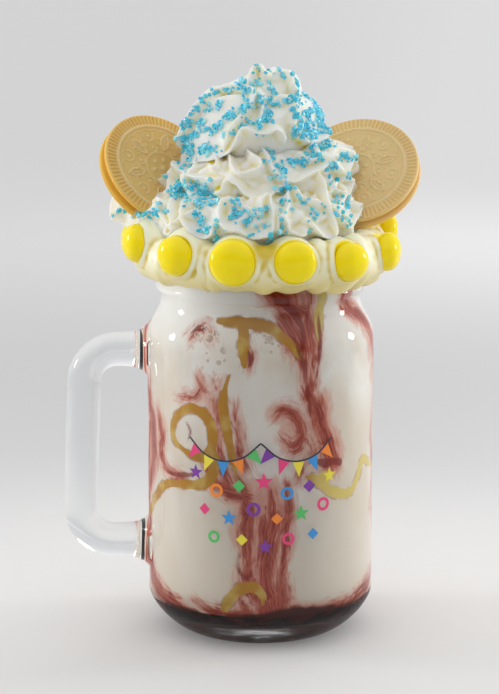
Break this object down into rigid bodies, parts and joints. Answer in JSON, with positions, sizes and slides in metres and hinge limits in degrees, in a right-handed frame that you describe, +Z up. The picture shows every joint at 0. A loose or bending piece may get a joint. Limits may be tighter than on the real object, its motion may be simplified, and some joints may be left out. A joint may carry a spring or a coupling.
{
  "type": "milkshake in a glass jar mug",
  "caption": "Milkshake in a glass jar mug with a handle, with a frosted lip set with candies, piped whipped cream and sandwich cookies.",
  "frame": {"origin": "on the axis of the jar, on the flat ring of its base that it stands on", "axes": "+Z up along the axis of the jar; the handle points along -X; the side with the row of four candies faces -Y"},
  "size_m": [0.1262, 0.0976, 0.201],
  "materials": {
    "glass": "clear and polished",
    "sauce": "dark, wet and glossy",
    "drink": "creamy, with streaks of sauce",
    "frosting": "smooth and satin",
    "cream": "smooth and satin, slightly translucent",
    "candy_shell": "polished sugar shell",
    "biscuit": "dry, fine crumb with embossing",
    "filling": "smooth and matte"
  },
  "bodies": {
    "root": {"jar": "glass", "dark_sauce": "sauce", "milkshake": "drink", "frosting_rim": "frosting", "whipped_cream": "cream", "candy_01": "candy_shell", "candy_02": "candy_shell", "candy_03": "candy_shell", "candy_04": "candy_shell", "candy_05": "candy_shell", "candy_06": "candy_shell", "candy_07": "candy_shell", "candy_08": "candy_shell", "candy_09": "candy_shell", "candy_10": "candy_shell", "candy_11": "candy_shell", "candy_12": "candy_shell", "cookie_right_front_wafer": "biscuit", "cookie_right_filling": "filling", "cookie_right_back_wafer": "biscuit", "cookie_left_front_wafer": "biscuit", "cookie_left_filling": "filling", "cookie_left_back_wafer": "biscuit"}
  },
  "joints": []
}
